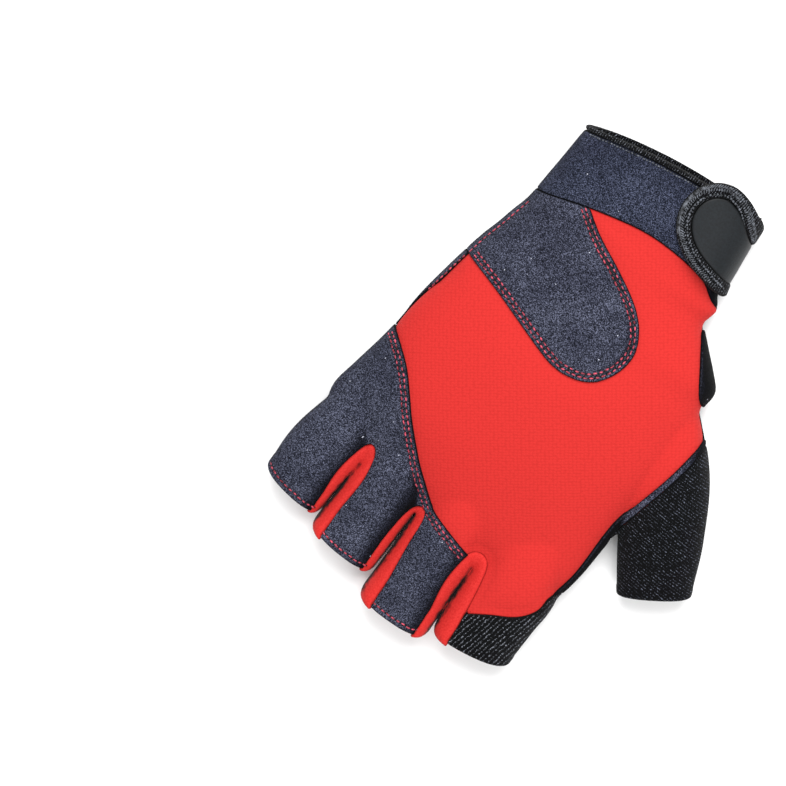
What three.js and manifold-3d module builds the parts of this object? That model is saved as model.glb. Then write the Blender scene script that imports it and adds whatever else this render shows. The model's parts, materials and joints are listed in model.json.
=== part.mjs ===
// A half-finger training glove for the right hand, lying palm down as it rests by itself.
// Millimetres. X runs from the thumb side to the little-finger side, Y from the cuff to the
// fingertips and Z up, out of the back of the hand. The origin is under the middle of the glove.
//
// The hand form is a closed loft: a body, four fingers and a thumb, joined. The same form made
// larger or smaller gives the two faces of each cloth layer. A panel is the wall between two such
// faces, cut out by its pattern, which is drawn in plan, with a small gap at every seam.
import * as THREE from "three";
import { mergeVertices } from "three/addons/utils/BufferGeometryUtils.js";
import Module from "manifold-3d";

const wasm = await Module();
wasm.setup();

// Driving dimensions
const SEAM_GAP = 0.3; // between neighbouring panels
const SEAM_Z = 8; // height of the widest line of the hand form
const SIDE_SEAM_Z = 6.5; // where back panels meet the palm along the sides
const PALM_Z = 1.5; // underside of the palm leather, which the patches lift off the floor
const PATCH_TOP = 3.5; // how high the palm patches come round the sides
const TIP_CLEARANCE = 6; // how far the hollow runs out past each fingertip
const CUFF_RIM = 3.6; // width of the binding round the cuff
const STRAP_BINDING = 4.6; // width of the binding round the strap's tab
const FAR = 60; // beyond the glove on every side
const ROUND_BACK = 2.35; // superellipse power of the back of a section
const ROUND_PALM = 3; // the same for the palm side, which is squarer
const FLATTENED = 1.15; // how much of the palm side's depth the floor has pressed flat
const CURVE_STEPS = 2; // steps for each point of a pattern's curved edge
const SIDES = { body: 22, finger: 12 };

// Offsets of a cloth layer's outer and inner face from the hand form
const LAYERS = {
  suede: { outer: 0, inner: -1.5 },
  knit: { outer: -0.4, inner: -1.8 },
  gusset: { outer: -0.2, inner: -1.4 },
  patch: { outer: PALM_Z, inner: SEAM_GAP },
  cuff: { outer: 0.6, inner: -1.9, bodyOnly: true },
  binding: { outer: 1.1, inner: -2.3, bodyOnly: true },
  strap: { outer: 3, inner: 1.4, bodyOnly: true },
  strapEdge: { outer: 3.4, inner: 1.4, bodyOnly: true },
};

// Sections of the body: y along the hand, x of its thumb and little-finger sides, turn of the
// section in degrees and height of the back. The last rows close the webs between the fingers.
const BODY = [
  { y: -94, thumbSide: -24.6, littleSide: 35.4, turn: 0, back: 20.6, palm: PALM_Z },
  { y: -80, thumbSide: -25.2, littleSide: 36, turn: 0, back: 21, palm: PALM_Z },
  { y: -66, thumbSide: -26, littleSide: 36.6, turn: 0, back: 21.4, palm: PALM_Z },
  { y: -54, thumbSide: -27.8, littleSide: 37.6, turn: 0, back: 21.8, palm: PALM_Z },
  { y: -45, thumbSide: -32.5, littleSide: 39, turn: 0, back: 22.6, palm: PALM_Z },
  { y: -36, thumbSide: -40, littleSide: 41, turn: 0, back: 23.6, palm: PALM_Z },
  { y: -28, thumbSide: -45.6, littleSide: 43.3, turn: 0, back: 24.6, palm: PALM_Z },
  { y: -16, thumbSide: -47.8, littleSide: 45.8, turn: 0, back: 25.6, palm: PALM_Z },
  { y: 0, thumbSide: -49, littleSide: 48.7, turn: 0, back: 25.8, palm: PALM_Z },
  { y: 15, thumbSide: -47.6, littleSide: 51, turn: 0, back: 24.8, palm: PALM_Z },
  { y: 30, thumbSide: -45.6, littleSide: 54, turn: 0, back: 22.4, palm: PALM_Z },
  { y: 43, thumbSide: -44.4, littleSide: 55.8, turn: 4, back: 19, palm: PALM_Z },
  { y: 53, thumbSide: -41.6, littleSide: 53.6, turn: 7, back: 15.2, palm: 2.2 },
  { y: 58.2, thumbSide: -37, littleSide: 49, turn: 8, back: 12, palm: 4.4 },
];

// Sections of each finger: centre, turn from straight ahead in degrees, half width, heights of
// the back and of the palm side. The first row is hidden in the body and the last is the open end.
const DIGITS = {
  little: [
    { x: 41.5, y: 27, turn: 5, half: 8, back: 16, palm: 3 },
    { x: 45, y: 50, turn: 6, half: 11.5, back: 17.4, palm: PALM_Z },
    { x: 46.9, y: 62, turn: 7, half: 11.9, back: 16.4, palm: PALM_Z },
    { x: 47.5, y: 74.4, turn: 9, half: 11.4, back: 15.8, palm: PALM_Z },
  ],
  ring: [
    { x: 20.6, y: 30, turn: 1, half: 9, back: 18, palm: 3 },
    { x: 22.4, y: 54, turn: 1, half: 11.7, back: 18.2, palm: PALM_Z },
    { x: 22.9, y: 67, turn: 3, half: 11.9, back: 17.2, palm: PALM_Z },
    { x: 23.7, y: 80.6, turn: 5, half: 12.3, back: 16.6, palm: PALM_Z },
  ],
  middle: [
    { x: -2, y: 32, turn: 0, half: 9, back: 18.5, palm: 3 },
    { x: -2.2, y: 58, turn: 0, half: 12.3, back: 18.6, palm: PALM_Z },
    { x: -2.1, y: 73, turn: 0, half: 12.3, back: 17.4, palm: PALM_Z },
    { x: -2.1, y: 89, turn: 0, half: 12.8, back: 16.8, palm: PALM_Z },
  ],
  index: [
    { x: -26.5, y: 32, turn: 0, half: 10, back: 17, palm: 3 },
    { x: -28.8, y: 56, turn: -1, half: 14.2, back: 18.4, palm: PALM_Z },
    { x: -28.8, y: 70, turn: -4, half: 13.9, back: 17.4, palm: PALM_Z },
    { x: -28.9, y: 83.4, turn: -9, half: 13.6, back: 16.6, palm: PALM_Z },
  ],
  thumb: [
    { x: -26, y: -28, turn: -36, half: 8, back: 15.5, palm: 3 },
    { x: -46, y: -1.5, turn: -33, half: 13.7, back: 18.4, palm: PALM_Z },
    { x: -58.4, y: 19.6, turn: -32, half: 14, back: 16.4, palm: PALM_Z },
    { x: -67.3, y: 36.2, turn: -32, half: 12.2, back: 14.8, palm: PALM_Z },
  ],
};
const TIP_LEAN = { little: 2.2, ring: 2.2, middle: 2.4, index: 2.4, thumb: 1 };

// Patterns in plan. Each is a list of stretches: three points or more are joined by a smooth
// curve, two by a straight line, and stretches meet at a corner.
const CUFF_SEAM = [
  [FAR, -43], [38, -49.8], [20.3, -55.6], [0, -59.4], [-20, -57.4], [-31, -51.8], [-FAR, -42],
];
const CUFF_EDGE = [[FAR, -67], [36.4, -75.8], [14, -80.9], [-8, -83], [-27, -82], [-FAR, -74]];
const OUTWARD = -FAR - 60; // past the cuff
const AHEAD = 120; // past the fingertips
const shiftY = (points, by) => points.map(([x, y]) => [x, y + by]);
const band = (from, to) => [from, [...to].reverse()];
const closedRegion = (edge, y) => [edge, [[-FAR, y], [FAR, y]]];

const PATTERNS = {
  cuff: band(CUFF_SEAM, shiftY(CUFF_EDGE, CUFF_RIM)),
  cuffReach: closedRegion(CUFF_SEAM, OUTWARD),
  binding: band(shiftY(CUFF_EDGE, CUFF_RIM - SEAM_GAP), CUFF_EDGE),
  strapTab: [
    [[-FAR, -50], [-29.8, -54.4], [-20.2, -56.8], [-12.2, -59.8], [-6.5, -63.8], [-2.8, -69.2], [-1.8, -75.2],
      [-4, -81.6], [-9.2, -86], [-17.2, -87.2], [-25.2, -84.8], [-31.2, -80.6], [-FAR, -66]],
  ],
  tongue: [
    [[FAR, -24.4], [43, -22.6], [24.3, -17], [3.2, -10.2], [-3.4, -8.9], [-8.6, -9.6], [-13, -12.7],
      [-16.4, -18.7], [-17.2, -25.7], [-14.2, -32.6], [-8.3, -38.5], [1.2, -44.2], [13.3, -50.3],
      [22, -56.1]],
    [[22, -67.5], [FAR, -67.5]],
  ],
  fingerBacks: [
    [[FAR, 8], [50.5, 12.4], [44.4, 16.2], [39.2, 20.4], [33.7, 26.6], [28.8, 32.6], [21.7, 40.2],
      [10.2, 49.4], [7, 51.6]],
    [[7, 51.6], [-2, 54.8], [-13.7, 58]],
    [[-14.5, AHEAD], [FAR + 20, AHEAD]],
  ],
  indexTip: [
    [[-19.6, 76], [-27.8, 70.7], [-35.5, 66.4], [-40.1, 61], [-42.6, 53], [-FAR, 44]],
    [[-FAR, AHEAD], [-14.5, AHEAD]],
  ],
  back: [
    [[-24, -66], [-29.6, -51.6], [-31.8, -46.7], [-32.4, -42], [-36, -36], [-44.1, -24.6], [-48.4, -20.6],
      [-51.6, -15.8], [-50.4, -7], [-48.3, 3.2], [-45.9, 12.4], [-43.3, 24.7], [-43, 42.7], [-41.6, 51.8],
      [-40.4, 59.1], [-38, 68]],
    [[-38, 82], [-14.5, 82], [-14.5, 62], [7, 56]],
    [[50.2, 15.5], [49.4, 11], [47.6, 0], [44.6, -14], [42, -25], [39.2, -38], [37, -48], [34, -66]],
  ],
  thumbBack: [
    [[-FAR - 30, -24], [-56, -17], [-53.2, -12], [-52.6, -6], [-50.7, 3.2], [-48.4, 12.4], [-46.4, 21],
      [-45.2, 27]],
    [[-50, 60], [-FAR - 40, 60]],
  ],
  gussetLittleRing: [
    [[31.4, AHEAD], [31.2, 70]],
    [[31.2, 70], [30.4, 58.6], [32, 49.6], [34.9, 47.8], [37.1, 52.6], [38.6, 61], [38.3, 70]],
    [[38.3, 70], [38.8, AHEAD]],
  ],
  gussetRingMiddle: [
    [[5, AHEAD], [6.4, 80]],
    [[6.4, 80], [7.6, 68.6], [8.4, 57.4], [10.6, 55.4], [12.8, 59.4], [13.9, 70], [14, 80]],
    [[14, 80], [14, AHEAD]],
  ],
  gussetMiddleIndex: [
    [[-23, AHEAD], [-21.4, 80]],
    [[-21.4, 80], [-19.4, 66], [-17.4, 58.4], [-13.8, 56.8], [-10.9, 60], [-9.9, 70], [-11.3, 80]],
    [[-11.3, 80], [-12.6, AHEAD]],
  ],
  palmMesh: [
    [[-21, 24], [-23.8, 20], [-22.6, 12.4], [-12.2, -5.5], [-1, -22], [3.6, -24.4], [11.7, -21.8],
      [24, -15], [32.2, -7.2], [35.8, 5.2], [37.2, 18]],
    [[37.2, 18], [22, 14], [5, 7.4]],
    [[5, 7.4], [-14, 23.2], [-21, 24]],
  ],
  zigzagPatch: [
    [[-26, 66.5], [-34, 58], [-34.4, 43], [-24.7, 32.4], [-10, 25], [5, 13.8]],
    [[5, 13.8], [25, 20.6], [46, 28.6], [50.6, 41], [47.6, 59.5]],
    [[47.6, 59.5], [34.6, 40]],
    [[34.6, 40], [24, 61]],
    [[24, 61], [11, 46.5]],
    [[11, 46.5], [-1.8, 63]],
    [[-1.8, 63], [-12.6, 48]],
    [[-12.6, 48], [-26, 66.5]],
  ],
  thumbHeelPatch: [
    [[-45.5, -18.4], [-38, -17], [-26, -20.6], [-13.4, -28.4], [1.5, -42]],
    [[1.5, -42], [-0.8, -45.8], [-12, -48.6], [-25, -47], [-35, -40.6], [-45, -28.4], [-47, -22],
      [-45.5, -18.4]],
  ],
  outerHeelPatch: [
    [[FAR, 6], [50.5, 8.4], [45.4, 9.4], [41.6, 6], [37.8, -6.3], [28.8, -21.6], [15.4, -35.1],
      [12.4, -43], [17, -47.6], [28.1, -47.4], [37, -43.6], [FAR, -36]],
  ],
};

// A value of a table between its rows, by a smooth curve through them.
function between(rows, at, column) {
  const last = rows.length - 1;
  const i = Math.min(Math.floor(at), last - 1);
  const [before, from, to, after] = [i - 1, i, i + 1, i + 2].map(
    (k) => rows[Math.min(Math.max(k, 0), last)][column],
  );
  const t = at - i;
  const [slopeFrom, slopeTo] = [(to - before) / 2, (after - from) / 2];
  return (
    from +
    slopeFrom * t +
    (3 * (to - from) - 2 * slopeFrom - slopeTo) * t * t +
    (slopeFrom + slopeTo - 2 * (to - from)) * t * t * t
  );
}

// Closed geometry as a solid that can be joined and cut.
function solidOf(geometry) {
  geometry.deleteAttribute("normal");
  geometry.deleteAttribute("uv");
  const merged = mergeVertices(geometry, 1e-4);
  return new wasm.Manifold(
    new wasm.Mesh({
      numProp: 3,
      vertProperties: merged.attributes.position.array,
      triVerts: new Uint32Array(merged.index.array),
    }),
  );
}

// A cylinder whose rings are moved onto the first sections of a table, as many as reach says. Each
// section has a round back and a palm side pressed flat. offset moves the whole skin outwards,
// endShift its far end forward, and lean the far end's back further forward than its palm side.
function loft(kind, rows, reach, offset, endShift, lean) {
  const geometry = new THREE.CylinderGeometry(1, 1, 1, SIDES[kind], reach - 1);
  const points = geometry.getAttribute("position");
  for (let i = 0; i < points.count; i++) {
    const at = (points.getY(i) + 0.5) * (reach - 1);
    const nearEnd = THREE.MathUtils.clamp(at - rows.length + 3, 0, 1);
    const onRim = Math.hypot(points.getX(i), points.getZ(i)) > 0.5;
    const across = onRim ? points.getX(i) : 0;
    const up = onRim ? points.getZ(i) : 0;
    const power = 2 / (up > 0 ? ROUND_BACK : ROUND_PALM);
    const sideways = Math.sign(across) * Math.abs(across) ** power;
    const upright = Math.abs(up) ** power;
    const back = between(rows, at, "back") + offset;
    const palm = Math.max(between(rows, at, "palm"), PALM_Z) - offset;
    const z =
      up > 0
        ? SEAM_Z + (back - SEAM_Z) * upright
        : Math.max(palm, SEAM_Z - (SEAM_Z - palm) * FLATTENED * upright);
    const aside = sideways * (between(rows, at, "half") + offset);
    const forward = nearEnd * (endShift + (lean * (z - SEAM_Z)) / (back - SEAM_Z));
    const turn = THREE.MathUtils.degToRad(between(rows, at, "turn"));
    points.setXYZ(
      i,
      between(rows, at, "x") + aside * Math.cos(turn) + forward * Math.sin(turn),
      between(rows, at, "y") - aside * Math.sin(turn) + forward * Math.cos(turn),
      z,
    );
  }
  return solidOf(geometry);
}

// The sections of a finger and one more, past its open end.
function withRoomPastTip(rows) {
  const tip = rows.at(-1);
  const turn = THREE.MathUtils.degToRad(tip.turn);
  const [x, y] = [tip.x + TIP_CLEARANCE * Math.sin(turn), tip.y + TIP_CLEARANCE * Math.cos(turn)];
  return [...rows, { ...tip, x, y }];
}

const bodyRows = BODY.map((row) => ({
  ...row,
  x: (row.thumbSide + row.littleSide) / 2,
  half: (row.littleSide - row.thumbSide) / 2,
}));

// The hand form with its skin moved out by offset. open runs the fingers on past their tips.
const forms = new Map();
function form(offset, bodyOnly, open) {
  const key = [offset, bodyOnly, open].join();
  if (!forms.has(key)) {
    let made = loft("body", [...bodyRows, bodyRows.at(-1)], bodyRows.length, offset, offset, 0);
    for (const [name, rows] of bodyOnly ? [] : Object.entries(DIGITS)) {
      const reach = open ? rows.length + 1 : rows.length;
      made = made.add(loft("finger", withRoomPastTip(rows), reach, offset, 0, TIP_LEAN[name]));
    }
    forms.set(key, made);
  }
  return forms.get(key);
}

// A pattern's outline as points, counter-clockwise.
function outline(stretches) {
  const shape = new THREE.Shape();
  stretches.forEach((stretch, i) => {
    const [start, ...rest] = stretch.map(([x, y]) => new THREE.Vector2(x, y));
    if (i === 0) shape.moveTo(start.x, start.y);
    else if (!shape.currentPoint.equals(start)) shape.lineTo(start.x, start.y);
    if (rest.length > 1) shape.splineThru(rest);
    else shape.lineTo(rest[0].x, rest[0].y);
  });
  const points = shape.getPoints(CURVE_STEPS);
  const unique = points.filter((p, i) => p.distanceTo(points[(i + 1) % points.length]) > 0.01);
  return THREE.ShapeUtils.isClockWise(unique) ? unique.reverse() : unique;
}

// The outline moved outwards by a distance, or inwards by a negative one.
function grown(points, distance) {
  return points.map((p, i) => {
    const before = points.at(i - 1);
    const after = points[(i + 1) % points.length];
    const [a, b] = [p.clone().sub(before).normalize(), after.clone().sub(p).normalize()];
    const normal = new THREE.Vector2(a.y + b.y, -a.x - b.x).normalize();
    const mitre = Math.max(0.5, normal.dot(new THREE.Vector2(b.y, -b.x)));
    return p.clone().addScaledVector(normal, distance / mitre);
  });
}

// A pattern as an upright block between two heights.
function block(points, from, to) {
  const geometry = new THREE.ExtrudeGeometry(new THREE.Shape(points), {
    depth: to - from,
    bevelEnabled: false,
  });
  return solidOf(geometry.translate(0, 0, from));
}

const ABOVE = [SIDE_SEAM_Z, FAR];
const BELOW = [-FAR, PATCH_TOP];
const THROUGH = [-FAR, FAR];
const COLOURS = {
  red: 0xe8322b,
  suede: 0x3a3c49,
  navy: 0x2c2d42,
  black: 0x1d1e22,
  charcoal: 0x2a3032,
};

// The pieces, in the order in which they are cut. A piece gives way to the patterns it names.
const GUSSETS = ["gussetLittleRing", "gussetRingMiddle", "gussetMiddleIndex"];
const PIECES = [
  { name: "cuff", layer: "cuff", pattern: "cuff", reach: THROUGH, colour: "navy" },
  { name: "cuff_binding", layer: "binding", pattern: "binding", reach: THROUGH, colour: "black" },
  { name: "fourchette_little_ring", layer: "gusset", pattern: GUSSETS[0], reach: THROUGH, colour: "red" },
  { name: "fourchette_ring_middle", layer: "gusset", pattern: GUSSETS[1], reach: THROUGH, colour: "red" },
  { name: "fourchette_middle_index", layer: "gusset", pattern: GUSSETS[2], reach: THROUGH, colour: "red" },
  {
    name: "wrist_tongue",
    layer: "suede",
    pattern: "tongue",
    reach: ABOVE,
    colour: "suede",
    givesWay: ["cuffReach"],
  },
  {
    name: "finger_backs",
    layer: "suede",
    pattern: "fingerBacks",
    reach: ABOVE,
    colour: "suede",
    givesWay: GUSSETS,
  },
  {
    name: "index_tip_band",
    layer: "suede",
    pattern: "indexTip",
    reach: ABOVE,
    colour: "black",
    givesWay: GUSSETS,
  },
  { name: "thumb_back", layer: "suede", pattern: "thumbBack", reach: ABOVE, colour: "black" },
  {
    name: "back_panel",
    layer: "knit",
    pattern: "back",
    reach: ABOVE,
    colour: "red",
    givesWay: ["cuffReach", "tongue", "fingerBacks", "indexTip", ...GUSSETS],
  },
  { name: "palm_mesh", layer: "knit", pattern: "palmMesh", reach: BELOW, colour: "red" },
  { name: "zigzag_patch", layer: "patch", pattern: "zigzagPatch", reach: BELOW, colour: "suede" },
  { name: "thumb_heel_patch", layer: "patch", pattern: "thumbHeelPatch", reach: BELOW, colour: "suede" },
  { name: "outer_heel_patch", layer: "patch", pattern: "outerHeelPatch", reach: BELOW, colour: "suede" },
];

// The wall of a layer inside a pattern's block.
function wall(layer, pattern, reach) {
  const { outer, inner, bodyOnly = false } = LAYERS[layer];
  const skin = form(outer, bodyOnly, false).subtract(form(inner, bodyOnly, true));
  return skin.intersect(block(pattern, ...reach));
}

// The largest of the bodies that a cut has left: the rest are crumbs.
function largest(solid) {
  return solid.decompose().sort((a, b) => b.volume() - a.volume())[0];
}

function makePiece({ layer, pattern, reach, givesWay = [] }) {
  let made = wall(layer, outline(PATTERNS[pattern]), reach);
  for (const other of givesWay) {
    made = made.subtract(block(grown(outline(PATTERNS[other]), SEAM_GAP), ...THROUGH));
  }
  return largest(made);
}

// The palm: all of the suede layer that the other panels leave, the sides of the hand included.
function makePalm() {
  let made = form(LAYERS.suede.outer, false, false).subtract(form(LAYERS.suede.inner, false, true));
  const taken = PIECES.filter(({ layer }) => !["patch", "cuff", "binding"].includes(layer));
  for (const { pattern, reach } of taken) {
    const [from, to] = reach;
    made = made.subtract(block(grown(outline(PATTERNS[pattern]), SEAM_GAP), from - SEAM_GAP, to + SEAM_GAP));
  }
  return largest(made.subtract(block(grown(outline(PATTERNS.cuffReach), SEAM_GAP), ...THROUGH)));
}

// The strap's tab lies over the cuff and goes round the thumb side: a smooth face in a binding.
function makeStrap() {
  const edge = outline(PATTERNS.strapTab);
  const face = grown(edge, -STRAP_BINDING);
  const reach = [SIDE_SEAM_Z - 2, FAR];
  const opening = block(grown(face, SEAM_GAP), ...THROUGH);
  return {
    strap_face: largest(wall("strap", face, reach)),
    strap_binding: largest(wall("strapEdge", edge, reach).subtract(opening)),
  };
}

function meshOf(name, solid, colour) {
  const { vertProperties, triVerts } = solid.getMesh();
  const geometry = new THREE.BufferGeometry();
  geometry.setAttribute("position", new THREE.BufferAttribute(vertProperties, 3));
  geometry.setIndex(new THREE.BufferAttribute(triVerts, 1));
  geometry.computeVertexNormals();
  const material = new THREE.MeshStandardMaterial({
    color: COLOURS[colour],
    roughness: colour === "charcoal" ? 0.6 : 0.9,
    metalness: 0,
  });
  const mesh = new THREE.Mesh(geometry, material);
  mesh.name = name;
  return mesh;
}

const glove = new THREE.Group();
for (const piece of PIECES) glove.add(meshOf(piece.name, makePiece(piece), piece.colour));
glove.add(meshOf("palm_panel", makePalm(), "suede"));
const strap = makeStrap();
glove.add(meshOf("strap_face", strap.strap_face, "charcoal"));
glove.add(meshOf("strap_binding", strap.strap_binding, "black"));

const middle = new THREE.Box3().setFromObject(glove).getCenter(new THREE.Vector3());
glove.position.set(-middle.x, -middle.y, 0);

export default glove;
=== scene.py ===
import json
import math
import random

import bmesh
import bpy
import numpy as np
from mathutils import Matrix, Vector, noise
from mathutils.bvhtree import BVHTree
from mathutils.kdtree import KDTree


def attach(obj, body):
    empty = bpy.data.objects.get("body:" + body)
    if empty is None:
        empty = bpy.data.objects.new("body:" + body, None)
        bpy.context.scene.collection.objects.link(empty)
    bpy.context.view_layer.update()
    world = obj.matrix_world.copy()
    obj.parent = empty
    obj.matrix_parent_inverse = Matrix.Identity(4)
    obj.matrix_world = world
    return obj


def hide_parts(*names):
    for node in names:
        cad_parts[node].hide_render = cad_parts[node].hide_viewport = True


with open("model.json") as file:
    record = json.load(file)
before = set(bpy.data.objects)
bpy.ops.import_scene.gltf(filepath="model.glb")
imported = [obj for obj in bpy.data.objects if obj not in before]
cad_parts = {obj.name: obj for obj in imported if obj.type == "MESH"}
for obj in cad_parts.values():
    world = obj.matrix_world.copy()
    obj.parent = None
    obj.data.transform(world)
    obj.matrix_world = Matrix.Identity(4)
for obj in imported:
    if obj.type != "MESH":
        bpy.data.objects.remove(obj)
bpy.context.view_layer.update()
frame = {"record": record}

# A right-hand training glove that lies palm down. The sections and patterns are in millimetres,
# in the pattern drawing's own place, and each finished piece is then moved into the frame.
drawingPlace = (9.443, -2.083)  # where the drawing's origin lies in the frame, in mm
toFrame = Matrix.Scale(0.001, 4) @ Matrix.Translation((*drawingPlace, 0))
far = 60  # past the glove on every side
ahead = 120  # past the fingertips

handForm = {
    "seamZ": 8,  # height of the widest line of a section
    "palmZ": 1.5,  # underside of the palm suede
    "roundBack": 2.35,  # superellipse powers of the two sides of a section
    "roundPalm": 3,
    "flattened": 1.15,  # how much of the palm side the floor has pressed flat
    "sideSeamZ": 5.2,  # where back panels meet the palm
    # where the knit meets the palm suede on the little finger's side: heights, and the y they are at
    "littleSeamZ": (13, 7),
    "littleSeamY": (-8, 6),
    "patchTop": 3.5,  # how far the palm patches come round the sides
    "pastTip": 14,  # the form runs on past each fingertip, and is trimmed
    "slim": 0.38,  # taken off each finger's half width, so that the slits stay open
    "bodySides": 72,  # points round each ring, and rings from a row to the next
    "bodyRings": 6,
    "fingerSides": 40,
    "fingerRings": 8,
    "voxel": 0.58,
    "softness": 0.5,
    "smoothing": 14,
    "waveHeight": 0.3,  # slack in the cloth, which fades to none at the flat palm side
    "waveLength": 19,
    "waveFade": 4,
}

# Sections of the body: y, thumb side, little-finger side, turn, height of back and of palm side
bodyRows = [
    (-94, -24.6, 35.4, 0, 20.6, 1.5),
    (-80, -25.2, 36, 0, 21, 1.5),
    (-66, -26, 36.6, 0, 21.4, 1.5),
    (-55, -27.8, 37.6, 0, 21.8, 1.5),
    (-50.5, -31.8, 38.2, 0, 22.2, 1.5),
    (-45, -30.2, 39, 0, 22.6, 1.5),
    (-40, -34.6, 40.5, 0, 23.1, 1.5),
    (-33.5, -41.4, 42.2, 0, 23.8, 1.5),
    (-28.5, -45.6, 43.8, 0, 24.5, 1.5),
    (-22, -45.4, 45.4, 0, 25.1, 1.5),
    (-14, -47.8, 47, 0, 25.6, 1.5),
    (0, -49, 49.5, 0, 25.8, 1.5),
    (15, -47.6, 51, 0, 24.8, 1.5),
    (30, -45.6, 54, 0, 22.4, 1.5),
    (43, -44.4, 55.8, 4, 19, 1.5),
    (53, -41.6, 53.6, 7, 15.2, 2.2),
    (58.2, -37, 49, 8, 12, 4.4),
]

# Sections of the fingers: x, y, turn from straight ahead, half width, height of back and palm side
fingerRows = {
    "little": [(41.5, 27, 5, 8, 16, 3), (45, 50, 6, 11.5, 17.4, 1.5), (46.9, 62, 7, 11.9, 16.4, 1.5),
               (47.5, 74.4, 9, 11.4, 15.8, 1.5)],
    "ring": [(20.6, 30, 1, 9, 18, 3), (22.4, 54, 1, 11.7, 18.2, 1.5), (22.9, 67, 3, 11.9, 17.2, 1.5),
             (23.7, 80.6, 5, 12.3, 16.6, 1.5)],
    "middle": [(-2, 32, 0, 9, 18.5, 3), (-2.2, 58, 0, 12.3, 18.6, 1.5), (-2.1, 73, 0, 12.3, 17.4, 1.5),
               (-2.1, 89, 0, 12.8, 16.8, 1.5)],
    "index": [(-26.5, 32, 0, 10, 17, 3), (-28.8, 56, -1, 14.2, 18.4, 1.5), (-28.8, 70, -4, 13.9, 17.4, 1.5),
              (-28.9, 83.4, -9, 13.6, 16.6, 1.5)],
    "thumb": [(-26, -28, -36, 8, 15.5, 3), (-46, -1.5, -33, 13.7, 18.4, 1.5),
              (-58.4, 19.6, -32, 14, 16.4, 1.5), (-67.3, 36.2, -32, 12.2, 14.8, 1.5)],
}
tipLean = {"little": 2.2, "ring": 2.2, "middle": 2.4, "index": 2.4, "thumb": 1}
fingerEnd = {
    "length": 30,  # how much of a finger counts as its end
    "aside": 0.4,
    "behind": -50,  # the distance that is given everywhere else
    "gussetPast": 1.2,  # how far the gussets stand out past the hems
}

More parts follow.
